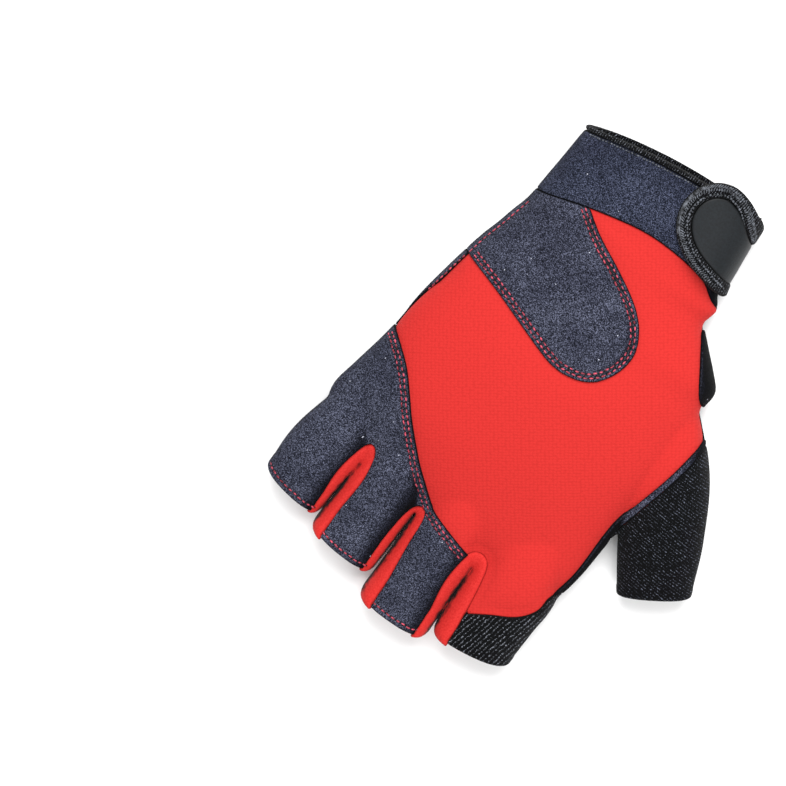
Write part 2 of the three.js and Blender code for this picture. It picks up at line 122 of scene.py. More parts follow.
# Patterns in plan, as stretches: two points make a straight line and more make a smooth curve
cuffSeam = [(far, -43), (38, -49.8), (20.3, -55.6), (0, -59.4), (-20, -57.4), (-31, -51.8), (-far, -42)]
cuffEdge = [(far, -67), (36.4, -75.8), (14, -80.9), (-8, -83), (-27, -82), (-far, -74)]
cuffRim = 1.7  # width of the cuff's binding
strapBand = 4.6  # width of the strap's binding
strapEndUp = 1  # how far above the side seam the strap ends
patterns = {
    "cuffReach": [cuffSeam, [(-far, -ahead), (far, -ahead)]],
    "cuffTrim": [cuffEdge, [(-far, -ahead), (far, -ahead)]],
    "tongue": [
        [(far, -24), (43, -20.4), (28.5, -16.6), (7.3, -9.4), (1, -8), (-4, -8.2), (-8.8, -9.6),
         (-13, -12.7), (-16.4, -18.7), (-17.2, -25.7), (-14.2, -32.6), (-8.3, -38.5), (1.2, -44.2),
         (13.3, -50.3), (22, -56.1)],
        [(22, -67.5), (far, -67.5)],
    ],
    "fingerBacks": [
        [(far, 8), (50.5, 12.4), (44.4, 16.2), (39.2, 20.4), (33.7, 26.6), (28.8, 32.6), (21.7, 40.2),
         (17.2, 44.6), (7, 53.3)],
        [(7, 53.3), (-2, 56), (-13.7, 59.6)],
        [(-14.5, ahead), (far + 20, ahead)],
    ],
    "indexTip": [
        [(-19.6, 76), (-27.8, 70.7), (-35.5, 66.4), (-40.1, 61), (-42.6, 53), (-far, 44)],
        [(-far, ahead), (-14.5, ahead)],
    ],
    "back": [
        [(-24, -66), (-34, -58), (-36.5, -51.5), (-34, -46.4), (-31.2, -43.4), (-33, -40), (-37.4, -33),
         (-42.7, -24.8), (-48, -20.8), (-51.6, -15.8), (-50.4, -7), (-48.3, 3.2), (-45.9, 12.4),
         (-43.3, 24.7), (-43, 42.7), (-41.6, 51.8), (-40.4, 59.1), (-38, 68)],
        [(-38, 82), (-14.5, 82), (-14.5, 62), (7, 56)],
        [(far, 56), (far, -66)],
    ],
    "thumbBack": [
        [(-far - 30, -24), (-56, -17), (-53.2, -12), (-52.6, -6), (-50.7, 3.2), (-48.4, 12.4), (-46.4, 21),
         (-45.2, 27)],
        [(-50, 60), (-far - 40, 60)],
    ],
    "gussetLittleRing": [
        [(31.4, ahead), (31.2, 70)],
        [(31.2, 70), (30.4, 58.6), (32, 49.6), (34.9, 47.8), (37.1, 52.6), (38.6, 61), (38.3, 70)],
        [(38.3, 70), (38.8, ahead)],
    ],
    "gussetRingMiddle": [
        [(4.2, ahead), (5.5, 80)],
        [(5.5, 80), (6.7, 68.6), (7.6, 57.4), (10.3, 55.2), (12.9, 59.4), (14, 70), (14, 80)],
        [(14, 80), (14, ahead)],
    ],
    "gussetMiddleIndex": [
        [(-23, ahead), (-21.4, 80)],
        [(-21.4, 80), (-19.4, 66), (-17.4, 58.4), (-13.8, 56.8), (-10.9, 60), (-9.9, 70), (-11.3, 80)],
        [(-11.3, 80), (-12.6, ahead)],
    ],
    "palmMesh": [
        [(-21, 24), (-23.8, 20), (-22.6, 12.4), (-12.2, -5.5), (-1, -22), (3.6, -24.4), (11.7, -21.8),
         (24, -15), (32.2, -7.2), (35.8, 5.2), (37.2, 18)],
        [(37.2, 18), (22, 14), (5, 7.4)],
        [(5, 7.4), (-14, 23.2), (-21, 24)],
    ],
    "zigzagPatch": [
        [(-26, 66.5), (-34, 58), (-34.4, 43), (-24.7, 32.4), (-10, 25), (5, 13.8)],
        [(5, 13.8), (25, 20.6), (46, 28.6), (50.6, 41), (47.6, 59.5)],
        [(47.6, 59.5), (34.6, 40)],
        [(34.6, 40), (24, 61)],
        [(24, 61), (11, 46.5)],
        [(11, 46.5), (-1.8, 63)],
        [(-1.8, 63), (-12.6, 48)],
        [(-12.6, 48), (-26, 66.5)],
    ],
    "thumbHeelPatch": [
        [(-45.5, -18.4), (-38, -17), (-26, -20.6), (-13.4, -28.4), (1.5, -42)],
        [(1.5, -42), (-0.8, -45.8), (-12, -48.6), (-25, -47), (-35, -40.6), (-45, -28.4), (-47, -22),
         (-45.5, -18.4)],
    ],
    "outerHeelPatch": [
        [(far, 6), (50.5, 8.4), (45.4, 9.4), (41.6, 6), (37.8, -6.3), (28.8, -21.6), (15.4, -35.1),
         (12.4, -43), (17, -47.6), (28.1, -47.4), (37, -43.6), (far, -36)],
    ],
    "littleSideRow": [  # only sewn along, not cut
        [(48.2, -3), (47.3, -8), (46.1, -14), (44.5, -21), (42.8, -28.5), (41.2, -33.5), (39.5, -40),
         (38, -46)],
    ],
    "strapTab": [
        [(-far, -50), (-29.8, -54.4), (-20.2, -56.8), (-12.2, -59.8), (-6.5, -63.8), (-2.8, -69.2),
         (-1.8, -75.2), (-3.2, -80.8), (-7, -85.2), (-12.5, -87.2), (-18.2, -86), (-23, -83),
         (-27.4, -78.6), (-34, -72.8), (-far, -56), (-far, -50)],
    ],
}
gussets = ["gussetLittleRing", "gussetRingMiddle", "gussetMiddleIndex"]


# A row of a table at a place between its rows, by a smooth curve through them
def rowAt(rows, at):
    last = len(rows) - 1
    i = min(int(at), last - 1)
    before, start, end, after = (rows[min(max(k, 0), last)] for k in (i - 1, i, i + 1, i + 2))
    t = at - i
    slopeStart, slopeEnd = (end - before) / 2, (after - start) / 2
    bend = 3 * (end - start) - 2 * slopeStart - slopeEnd
    return start + slopeStart * t + bend * t**2 + (slopeStart + slopeEnd - 2 * (end - start)) * t**3


def smoothPath(points, perSpan=5):
    rows = np.array(points, float)
    if len(rows) == 2:
        return rows
    return np.array([rowAt(rows, step / perSpan) for step in range((len(rows) - 1) * perSpan + 1)])


# A pattern's whole outline, without the points where two stretches meet twice
def outlineOf(name):
    points = np.concatenate([smoothPath(stretch) for stretch in patterns[name]])
    apart = np.linalg.norm(points - np.roll(points, -1, axis=0), axis=1) > 0.01
    return points[apart]


# Distance in plan from a pattern's edge, negative inside it
def patternDistance(points, outline):
    x, y = points[:, 0], points[:, 1]
    nearest = np.full(len(points), 1e9)
    inside = np.zeros(len(points), bool)
    for start, end in zip(outline, np.roll(outline, -1, axis=0)):
        edge = end - start
        share = np.clip(((x - start[0]) * edge[0] + (y - start[1]) * edge[1]) / (edge @ edge), 0, 1)
        gap = (x - start[0] - share * edge[0]) ** 2 + (y - start[1] - share * edge[1]) ** 2
        nearest = np.minimum(nearest, gap)
        if edge[1]:
            level = (start[1] > y) != (end[1] > y)
            inside ^= level & (x < start[0] + (y - start[1]) * edge[0] / edge[1])
    return np.where(inside, -1, 1) * np.sqrt(nearest)


# A point of a section's skin. The angle runs round from the little-finger side over the back.
def sectionPoint(row, angle, forward=0, lean=0):
    x, y, turn, half, back, palm = row
    across, up = math.cos(angle), math.sin(angle)
    power = 2 / (handForm["roundBack"] if up > 0 else handForm["roundPalm"])
    aside = math.copysign(abs(across) ** power, across) * half
    seamZ = handForm["seamZ"]
    if up > 0:
        z = seamZ + (back - seamZ) * abs(up) ** power
    else:
        z = max(palm, seamZ - (seamZ - palm) * handForm["flattened"] * abs(up) ** power)
    onward = forward + lean * (z - seamZ) / (back - seamZ)
    turn = math.radians(turn)
    return Vector((x + aside * math.cos(turn) + onward * math.sin(turn),
                   y - aside * math.sin(turn) + onward * math.cos(turn), z))


# A closed loft through the sections of a table
def addLoft(bm, rows, sides, ringsPerRow):
    rings = []
    last = (len(rows) - 1) * ringsPerRow
    for step in range(last + 1):
        row = rowAt(rows, step / ringsPerRow)
        row[5] = max(row[5], handForm["palmZ"])
        ring = bmesh.ops.create_circle(bm, segments=sides, radius=1, cap_ends=step in (0, last))["verts"]
        for v in ring:
            v.co = sectionPoint(row, math.atan2(v.co.y, v.co.x))
        rings.append({e for v in ring for e in v.link_edges})
    for ring, after in zip(rings, rings[1:]):
        bmesh.ops.bridge_loops(bm, edges=list(ring | after))


def newObject(name, bm):
    mesh = bpy.data.meshes.new(name)
    bm.to_mesh(mesh)
    bm.free()
    piece = bpy.data.objects.new(name, mesh)
    bpy.context.scene.collection.objects.link(piece)
    return piece


# The mesh of an object with its modifiers applied, in place of the object
def applied(piece):
    mesh = bpy.data.meshes.new_from_object(piece.evaluated_get(bpy.context.evaluated_depsgraph_get()))
    old = piece.data
    bpy.data.objects.remove(piece)
    bpy.data.meshes.remove(old)
    return mesh


def pointsOf(mesh):
    points = np.empty(len(mesh.vertices) * 3)
    mesh.vertices.foreach_get("co", points)
    return points.reshape(-1, 3)


def normalsOf(mesh):
    normals = np.empty(len(mesh.vertices) * 3)
    mesh.vertex_normals.foreach_get("vector", normals)
    return normals.reshape(-1, 3)


# The skin of the whole hand form, from which every panel is cut
def makeSkin():
    bm = bmesh.new()
    body = np.array([((thumb + little) / 2, y, turn, (little - thumb) / 2, back, palm)
                     for y, thumb, little, turn, back, palm in bodyRows])
    addLoft(bm, body, handForm["bodySides"], handForm["bodyRings"])
    for rows in fingerRows.values():
        finger = np.array(rows, float)
        finger[:, 3] -= handForm["slim"]
        tip = finger[-1].copy()
        turn = math.radians(tip[2])
        tip[0] += handForm["pastTip"] * math.sin(turn)
        tip[1] += handForm["pastTip"] * math.cos(turn)
        addLoft(bm, np.vstack([finger, tip]), handForm["fingerSides"], handForm["fingerRings"])
    bmesh.ops.recalc_face_normals(bm, faces=bm.faces)
    form = newObject("hand_form", bm)
    remesh = form.modifiers.new("union", "REMESH")
    remesh.mode = "VOXEL"
    remesh.voxel_size = handForm["voxel"]
    soften = form.modifiers.new("soften", "SMOOTH")
    soften.factor = handForm["softness"]
    soften.iterations = handForm["smoothing"]
    mesh = applied(form)
    points, normals = pointsOf(mesh), normalsOf(mesh)
    slack = np.array([noise.noise(Vector(p) / handForm["waveLength"]) for p in points])
    onBack = np.clip((points[:, 2] - handForm["seamZ"]) / handForm["waveFade"], 0, 1)
    points += normals * (slack * onBack * handForm["waveHeight"])[:, None]
    mesh.vertices.foreach_set("co", points.ravel())
    mesh.update()
    return mesh


# How far a point lies past the end of the finger that it is on, negative behind it
def endDistance(points, past=0):
    distance = np.full(len(points), float(fingerEnd["behind"]))
    for name, rows in fingerRows.items():
        x, y, turn, half, back, _ = rows[-1]
        turn = math.radians(turn)
        along = (points[:, 0] - x) * math.sin(turn) + (points[:, 1] - y) * math.cos(turn)
        aside = (points[:, 0] - x) * math.cos(turn) - (points[:, 1] - y) * math.sin(turn)
        along -= past + tipLean[name] * (points[:, 2] - handForm["seamZ"]) / (back - handForm["seamZ"])
        onFinger = (abs(aside) < half + fingerEnd["aside"]) & (along > -fingerEnd["length"])
        distance = np.where(onFinger, np.maximum(distance, along), distance)
    return distance


# Distances of the skin's points from every edge that panels are cut to, negative inside
skin = makeSkin()
skinPoints = pointsOf(skin)
print("skin", len(skin.vertices))
reach = {name: patternDistance(skinPoints, outlineOf(name)) for name in patterns}
reach["above"] = handForm["sideSeamZ"] - skinPoints[:, 2]
littleSeam = np.interp(skinPoints[:, 1], handForm["littleSeamY"], handForm["littleSeamZ"])
reach["knitAbove"] = np.where(skinPoints[:, 0] > 0, littleSeam, handForm["sideSeamZ"])
reach["knitAbove"] -= skinPoints[:, 2]
reach["below"] = skinPoints[:, 2] - handForm["patchTop"]
reach["end"] = endDistance(skinPoints)
reach["gussetEnd"] = endDistance(skinPoints, past=fingerEnd["gussetPast"])
reach["gussets"] = np.minimum.reduce([reach[name] for name in gussets])
reach["binding"] = patternDistance(skinPoints + (0, -cuffRim, 0), outlineOf("cuffTrim"))
print("patterns laid out")


# Inside all of these edges
def within(*distances):
    return np.maximum.reduce(distances)


cut = {
    "margin": 1.6,  # kept round a pattern until its edge is cut
    "rows": (0, -0.14, -0.34, -0.7),  # rows of points inside the edge, for its roll
    "sliver": 1e-3,
    "snap": 0.05,
    "same": 1e-4,
    "rimSmoothing": 0.5,
    "floorGap": 0.03,
    "crease": 55,  # degrees
}


# Splits the mesh along the line where the layer has a value
def splitAt(bm, layer, level):
    for v in bm.verts:
        if abs(v[layer] - level) < cut["snap"]:
            v[layer] = level
    for e in bm.edges[:]:
        a, b = e.verts
        gapA, gapB = a[layer] - level, b[layer] - level
        if gapA * gapB < 0 and abs(gapA) > cut["same"] and abs(gapB) > cut["same"]:
            fresh = bmesh.utils.edge_split(e, a, gapA / (gapA - gapB))[1]
            fresh[layer] = level
    bmesh.ops.connect_verts(bm, verts=[v for v in bm.verts if abs(v[layer] - level) < cut["same"]])


# Deletes the crumbs that a cut leaves beside the panel
def keepLargest(bm):
    left, islands = set(bm.faces), []
    while left:
        island, front = set(), [left.pop()]
        while front:
            face = front.pop()
            island.add(face)
            for e in face.edges:
                for other in e.link_faces:
                    if other in left:
                        left.remove(other)
                        front.append(other)
        islands.append(island)
    largest = max(islands, key=len)
    crumbs = [face for island in islands if island is not largest for face in island]
    bmesh.ops.delete(bm, geom=crumbs, context="FACES")


# Smooths a sheet's edge along itself, so that neighbours still meet there
def smoothRim(bm):
    places = []
    for v in bm.verts:
        beside = [e.other_vert(v).co for e in v.link_edges if e.is_boundary]
        if len(beside) == 2:
            places.append((v, v.co.lerp((beside[0] + beside[1]) / 2, cut["rimSmoothing"])))
    for v, place in places:
        v.co = place


# A panel's sheet: the stretch of skin inside its pattern, with rows of points along its edge
def cutSheet(distance):
    if "inside" not in skin.attributes:
        skin.attributes.new("inside", "FLOAT", "POINT")
    skin.attributes["inside"].data.foreach_set("value", distance.astype(np.float32))
    bm = bmesh.new()
    bm.from_mesh(skin)
    layer = bm.verts.layers.float["inside"]
    bmesh.ops.delete(bm, geom=[v for v in bm.verts if v[layer] > cut["margin"]], context="VERTS")
    for level in cut["rows"]:
        splitAt(bm, layer, level)
    outside = [f for f in bm.faces if sum(v[layer] for v in f.verts) > cut["sliver"] * len(f.verts)]
    bmesh.ops.delete(bm, geom=outside, context="FACES")
    bmesh.ops.delete(bm, geom=[v for v in bm.verts if not v.link_faces], context="VERTS")
    keepLargest(bm)
    smoothRim(bm)
    bm.normal_update()
    return bm


# Rises from 0 at an edge to 1, as a quarter circle does
def rounded(depth, width):
    return np.sqrt(1 - (1 - np.clip(depth / width, 0, 1)) ** 2)


# A sheet made a wall. heights gives the outer and inner face's distance from the skin.
def makeWall(name, bm, heights):
    source = bm.verts.layers.int.new("source")
    outside = bm.verts.layers.float.new("outside")  # 1 on the face that the wearer doesn't touch
    layer = bm.verts.layers.float["inside"]
    for i, v in enumerate(bm.verts):
        v[source] = i
    points = np.array([v.co for v in bm.verts])
    normals = np.array([v.normal for v in bm.verts])
    depth = -np.array([v[layer] for v in bm.verts])
    outer, inner = heights(points, depth)
    outerPoints = points + normals * outer[:, None]
    innerPoints = points + normals * inner[:, None]
    outerPoints[:, 2] = np.maximum(outerPoints[:, 2], cut["floorGap"])
    made = bmesh.ops.extrude_face_region(bm, geom=bm.faces[:], use_keep_orig=True)["geom"]
    fresh = {v for v in made if isinstance(v, bmesh.types.BMVert)}
    for v in bm.verts:
        v.co = (outerPoints if v in fresh else innerPoints)[v[source]]
        v[outside] = v in fresh
    bmesh.ops.recalc_face_normals(bm, faces=bm.faces)
    for f in bm.faces:
        f.smooth = True
    piece = newObject(name, bm)
    piece.data.set_sharp_from_angle(angle=math.radians(cut["crease"]))
    return piece


# Cloth layers, in mm: height of the outer and inner face over the skin, how far the edge rolls
# down and in what width, and how far the cloth stands proud and within what distance of its edge
cloths = {
    "suede": (0.2, -0.7, 0.5, 0.45, 0.15, 4),
    "knit": (-0.75, -1.6, 0.1, 0.4, 0.75, 3.2),
    "spandex": (-0.5, -1.4, 0.6, 0.7, 1.25, 1.3),
    "terry": (0.1, -1.1, 0.6, 0.6, 0.2, 3),
    "neoprene": (0.25, -1.9, 0.7, 0.8, 0.4, 3),
    "binding": (1, -2.2, 1.5, 1.4, 0, 1),
    "patch": (0.95, 0.22, 0.35, 0.4, 0.65, 2.4),
    "strap": (2.7, 1.45, 0.5, 0.6, 0.3, 3),
    "strapEdge": (3.2, 1.4, 0.9, 1, 0, 1),
}
# The fold at each finger's end: its width, and what it adds to the two faces
hem = {"width": 3.1, "step": 0.5, "outer": 0.15, "inner": -0.75, "roll": 0.55, "rollWidth": 0.9}


# The heights of a cloth's faces. hidden is the allowance that lies under a neighbour.
def heightsOf(cloth, hidden):
    face, inside, roll, rollWidth, puff, puffReach = cloths[cloth]

    def heights(points, depth):
        outer = face + puff * (1 - np.exp(-np.maximum(depth - hidden, 0) / puffReach))
        outer -= roll * (1 - rounded(depth, rollWidth))
        inner = np.full(len(points), float(inside))
        if cloth in ("suede", "terry"):
            fromEnd = -endDistance(points)
            inHem = np.clip((hem["width"] - fromEnd) / hem["step"], 0, 1)
            folded = rounded(fromEnd, hem["rollWidth"])
            outer += hem["outer"] * inHem - hem["roll"] * (1 - folded)
            inner += hem["inner"] * inHem * folded
        return outer, inner

    return heights


lap = 2.5  # seam allowance of the knit under the suede
clear = 0.06  # between the faces of a sewn seam
notGusset = -reach["gussets"] + clear
notCuff = -reach["cuffReach"] + clear
# Panels: cloth, allowance, and distance from the edges they are cut to
panels = {
    "back_panel": ("knit", lap, within(
        reach["back"] - lap, reach["knitAbove"] - lap, notCuff, notGusset, -reach["tongue"] - lap,
        -reach["fingerBacks"] - lap, -reach["indexTip"] + clear)),
    "wrist_tongue": ("suede", 0, within(reach["tongue"], reach["above"], notCuff)),
    "finger_backs": ("suede", 0, within(reach["fingerBacks"], reach["above"], notGusset, reach["end"])),
    "index_tip_band": ("terry", 0, within(reach["indexTip"], reach["above"], notGusset, reach["end"])),
    "thumb_back": ("terry", 0, within(reach["thumbBack"], reach["above"], reach["end"])),
    "palm_mesh": ("knit", lap, within(reach["palmMesh"] - lap, reach["below"])),
    "zigzag_patch": ("patch", 0, within(reach["zigzagPatch"], reach["below"])),
    "thumb_heel_patch": ("patch", 0, within(reach["thumbHeelPatch"], reach["below"])),
    "outer_heel_patch": ("patch", 0, within(reach["outerHeelPatch"], reach["below"])),
    "fourchette_little_ring": ("spandex", 0, within(reach["gussetLittleRing"], reach["gussetEnd"])),
    "fourchette_ring_middle": ("spandex", 0, within(reach["gussetRingMiddle"], reach["gussetEnd"])),
    "fourchette_middle_index": ("spandex", 0, within(reach["gussetMiddleIndex"], reach["gussetEnd"])),
    "cuff": ("neoprene", 0, within(reach["cuffReach"], -reach["binding"] + clear)),
    "cuff_binding": ("binding", 0, within(reach["binding"], -reach["cuffTrim"])),
    "strap_face": ("strap", 0, within(reach["strapTab"] + strapBand, reach["above"] - strapEndUp)),
    "strap_binding": ("strapEdge", 0, within(
        reach["strapTab"], -reach["strapTab"] - strapBand + clear, reach["above"] - strapEndUp)),
}
# The palm suede takes the rest of the skin
taken = [within(reach[name], reach["above"]) for name in
         ("tongue", "fingerBacks", "indexTip", "thumbBack")]
taken.append(within(reach["back"], reach["knitAbove"]))
taken += [within(reach["palmMesh"], reach["below"]), reach["gussets"], reach["cuffReach"]]
panels["palm_panel"] = ("suede", 0, within(clear - np.minimum.reduce(taken), reach["end"]))

pieces = {}
for name, (cloth, hidden, distance) in panels.items():
    pieces[name] = makeWall(name, cutSheet(distance), heightsOf(cloth, hidden))
    print(name, len(pieces[name].data.polygons))


# Sewing, in mm
thread = {
    "red": 0.31,  # radii
    "black": 0.17,
    # hole: radius of the black spindles that paint the shade of the needle holes
    "hole": 0.3,
    "flat": 0.8,  # height of a thread to its width
    "pitch": 1.95,
    "length": 1.55,
    "sunk": 0.1,
    "holeSpan": (0.36, 0.64),  # part of the pitch
    "holeSunk": 0.08,
    "uneven": 0.13,  # how far the stitches stray sideways, and how their length and radius vary
    "lengths": (0.75, 1.05),
    "radii": (0.8, 1.05),
    "crossStarts": (0.9, 0.4),  # in pitches
    "crossSunk": 0.02,
    "rows": (1.3, 2.7),  # distances inside the edge
    "patchRows": (0.9, 2.2),
    "meshRows": (-1.3, -2.9),
    "hemRow": 1.9,
    "hemPoints": 40,
    "hemNear": 2.5,
}
# How the sewn paths are stepped, and dropped onto the cloth
paths = {"perSpan": 8, "cuffPerSpan": 12, "step": 1.2, "slack": 0.12, "dropFrom": 100, "jump": 4,
         "fewest": 3}
groove = {"depth": 0.32, "width": 0.55, "step": 0.35, "reach": 1.2}  # pulled in by the stitches
strapRows = {"overlock": (0.4, 1.5, 2.6), "pitch": 0.8, "thread": 0.25, "sunk": -0.05, "leastUp": 0.35,
             "grooves": (3.05, 4.3)}
chainRow = {"inside": 3.65, "stitch": (0.42, 1.15, 1, -0.1)}  # radius, pitch, length and how far sunk
cuffRow = {"inside": 0.75, "stitch": (0.3, 1.05, 0.8, 0.05)}


# A piece's surface, to drop stitches on
def onSurface(piece):
    bpy.context.view_layer.update()
    return BVHTree.FromObject(piece, bpy.context.evaluated_depsgraph_get())


# A stretch of a pattern's edge moved into the pattern, or out of it by a negative distance
def movedIn(name, stretch, by):
    path = smoothPath(patterns[name][stretch], paths["perSpan"])
    outline = outlineOf(name)
    fine = [path[0]]
    for a, b in zip(path, path[1:]):
        steps = max(1, int(np.linalg.norm(b - a) / paths["step"]))
        fine += [a + (b - a) * k / steps for k in range(1, steps + 1)]
    fine = np.array(fine)
    along = np.gradient(fine, axis=0)
    side = np.stack([-along[:, 1], along[:, 0]], 1) / np.linalg.norm(along, axis=1)[:, None]
    moved = fine + side * by
    if np.median(patternDistance(moved, outline)) * by > 0:
        moved = fine - side * by
    clearOf = abs(patternDistance(moved, outline)) > abs(by) - paths["slack"]
    return [point for point, keep in zip(moved, clearOf) if keep]


# A path in plan dropped onto a surface, from above or from below, as runs of (point, normal)
def dropped(tree, path, fromAbove=True):
    up = 1 if fromAbove else -1
    start, way = paths["dropFrom"] * up, Vector((0, 0, -up))
    runs, run = [], []
    for x, y in path:
        point, normal, _, _ = tree.ray_cast(Vector((x, y, start)), way)
        near = run and point and (point - run[-1][0]).length < paths["jump"]
        if point is None or (run and not near):
            runs.append(run)
            run = []
        if point is not None:
            run.append((point, normal))
    runs.append(run)
    return [run for run in runs if len(run) > paths["fewest"]]


# The row of stitches round a finger's hem, from one angle to another, in degrees
def hemRun(tree, finger, start, end, back):
    row = np.array(fingerRows[finger][-1], float)
    run = []
    for angle in np.linspace(math.radians(start), math.radians(end), thread["hemPoints"]):
        guess = sectionPoint(row, angle, -back, tipLean[finger])
        point, normal, _, gap = tree.find_nearest(guess)
        if gap < thread["hemNear"]:
            run.append((point, normal))
    return run


# Points at equal steps along a run
def stepped(run, step, offset=0.5):
    points = np.array([p for p, _ in run])
    normals = np.array([n for _, n in run])
    lengths = np.concatenate([[0], np.cumsum(np.linalg.norm(np.diff(points, axis=0), axis=1))])
    places = np.arange(step * offset, lengths[-1], step)
    at = [[np.interp(places, lengths, column[:, k]) for k in range(3)] for column in (points, normals)]
    return np.array(at[0]).T, np.array(at[1]).T


# Presses grooves into a piece along rows of points
def pressGrooves(piece, runs):
    mesh = piece.data
    points, normals = pointsOf(mesh), normalsOf(mesh)
    tree = KDTree(len(points))
    for i, p in enumerate(points):
        tree.insert(p, i)
    tree.balance()
    nearest = np.full(len(points), float(far))
    for run in runs:
        for p in stepped(run, groove["step"])[0]:
            for _, i, gap in tree.find_range(p, groove["reach"]):
                nearest[i] = min(nearest[i], gap)
    depth = groove["depth"] * np.exp(-((nearest / groove["width"]) ** 2))
    points -= normals * depth[:, None]
    mesh.vertices.foreach_set("co", points.ravel())
    mesh.update()


# One stitch's thread, a spindle with few faces that is laid thousands of times
def newThread():
    bm = bmesh.new()
    bmesh.ops.create_uvsphere(bm, u_segments=5, v_segments=6, radius=1,
                              matrix=Matrix.Rotation(math.pi / 2, 4, "Y"))
    for f in bm.faces:
        f.smooth = True
    mesh = bpy.data.meshes.new("thread")
    bm.to_mesh(mesh)
    bm.free()
    return mesh


oneThread = newThread()
threadShape = pointsOf(oneThread)


# Lays one thread from a point to another, in the surface with that normal
def layThread(bm, start, end, normal, radius, sunk):
    along = end - start
    x = along / np.linalg.norm(along)
    y = np.cross(normal, x)
    y /= np.linalg.norm(y)
    z = np.cross(x, y)
    size = np.array([x * np.linalg.norm(along) / 2, y * radius, z * radius * thread["flat"]])
    place = (start + end) / 2 - z * sunk
    oneThread.vertices.foreach_set("co", (threadShape @ size + place).ravel())
    bm.from_mesh(oneThread)


# A row of lockstitches, with a black spindle sunk between each and the next as the painted shade of its
# needle hole
def sewRow(bm, run, radius, pitch=thread["pitch"], length=thread["length"], sunk=thread["sunk"],
           holeShades=None):
    points, normals = stepped(run, pitch)
    if len(points) < 3:
        return
    along = np.gradient(points, axis=0)
    along /= np.linalg.norm(along, axis=1)[:, None]
    hand = random.Random(len(points))
    for p, n, way in zip(points, normals, along):
        before, after = (p + np.cross(n, way) * hand.uniform(-1, 1) * thread["uneven"] for _ in range(2))
        half = way * length / 2 * hand.uniform(*thread["lengths"])
        layThread(bm, before - half, after + half, n, radius * hand.uniform(*thread["radii"]), sunk)
        if holeShades:
            start, end = (p + way * pitch * share for share in thread["holeSpan"])
            layThread(holeShades, start, end, n, thread["hole"], sunk + thread["holeSunk"])


# The slanting threads between two rows of stitches
def sewCross(bm, run, other):
    start, otherStart = thread["crossStarts"]
    points, normals = stepped(run, thread["pitch"], start)
    places = stepped(other, thread["pitch"], otherStart)[0]
    for i in range(min(len(points), len(places)) - 1):
        layThread(bm, points[i], places[i + 1], normals[i], thread["black"], thread["crossSunk"])


# Stitching: for each panel, the pattern edges that are sewn, the rows' distances inside the edge
# and whether they are seen from above
sewn = {
    "wrist_tongue": [("tongue", 0, thread["rows"], True), ("littleSideRow", 0, (0,), True)],
    "finger_backs": [("fingerBacks", 0, thread["rows"], True), ("fingerBacks", 1, thread["rows"], True)],
    "palm_panel": [("littleSideRow", 0, (0,), True)] + [
        ("palmMesh", k, thread["meshRows"], False) for k in range(3)],
    "zigzag_patch": [("zigzagPatch", k, thread["patchRows"], False) for k in range(8)],
    "thumb_heel_patch": [("thumbHeelPatch", k, thread["patchRows"], False) for k in range(2)],
    "outer_heel_patch": [("outerHeelPatch", 0, thread["patchRows"], False)],
}
# Hem rows: finger, and the angles that they run between
hems = {"finger_backs": [("little", 20, 155), ("ring", 28, 150), ("middle", 28, 150)],
        "palm_panel": [(name, 200, 340) for name in fingerRows]}
stitching = {}
for name, edges in sewn.items():
    red, black = bmesh.new(), bmesh.new()
    tree = onSurface(pieces[name])
    runs = []
    for pattern, stretch, rows, fromAbove in edges:
        sides = [dropped(tree, movedIn(pattern, stretch, by), fromAbove) for by in rows]
        for side in sides:
            runs += side
        for run, other in zip(*sides) if len(sides) == 2 else ():
            sewCross(black, run, other)
    for finger, start, end in hems.get(name, ()):
        runs.append(hemRun(tree, finger, start, end, thread["hemRow"]))
    for run in runs:
        sewRow(red, run, thread["red"], holeShades=black)
    pressGrooves(pieces[name], runs)
    stitching[name + "_stitching"] = (newObject(name + "_stitching", red), "red")
    # the black mesh holds the overlock threads and the painted shade of the needle holes
    if len(black.verts):
        stitching[name + "_overlock"] = (newObject(name + "_overlock", black), "black")
    else:
        black.free()
print("stitching", sum(len(piece.data.polygons) for piece, _ in stitching.values()))


# The strap's binding is covered with overlock threads, with a ring of chain stitch inside them,
# and the cuff has one row of stitches under its binding
def sewStrap():
    tree = onSurface(pieces["strap_binding"])
    grey = bmesh.new()
    rows = [dropped(tree, movedIn("strapTab", 0, by))[0] for by in strapRows["overlock"]]
    count = min(len(stepped(row, strapRows["pitch"])[0]) for row in rows)
    across = [stepped(row, sum(np.linalg.norm(b[0] - a[0]) for a, b in zip(row, row[1:])) / count)
              for row in rows]
    for i in range(count - 1):
        if across[0][1][i][2] < strapRows["leastUp"]:
            continue
        for (near, normals), (beyond, _) in zip(across, across[1:]):
            layThread(grey, near[i], beyond[i], normals[i], strapRows["thread"], strapRows["sunk"])
    sewRow(grey, dropped(tree, movedIn("strapTab", 0, chainRow["inside"]))[0], *chainRow["stitch"])
    grooves = [dropped(tree, movedIn("strapTab", 0, by))[0] for by in strapRows["grooves"]]
    pressGrooves(pieces["strap_binding"], grooves)
    stitching["strap_overlock"] = (newObject("strap_overlock", grey), "grey")
    tree = onSurface(pieces["cuff"])
    grey = bmesh.new()
    below = cuffRim + cuffRow["inside"]
    path = [(x, y + below) for x, y in smoothPath(cuffEdge, paths["cuffPerSpan"])]
    runs = dropped(tree, path) + dropped(tree, path, fromAbove=False)
    for run in runs:
        sewRow(grey, run, *cuffRow["stitch"])
    pressGrooves(pieces["cuff"], runs)
    stitching["cuff_stitching"] = (newObject("cuff_stitching", grey), "grey")


sewStrap()


def linear(code):
    parts = [int(code[i:i + 2], 16) / 255 for i in (0, 2, 4)]
    return [c / 12.92 if c < 0.04045 else ((c + 0.055) / 1.055) ** 2.4 for c in parts] + [1]


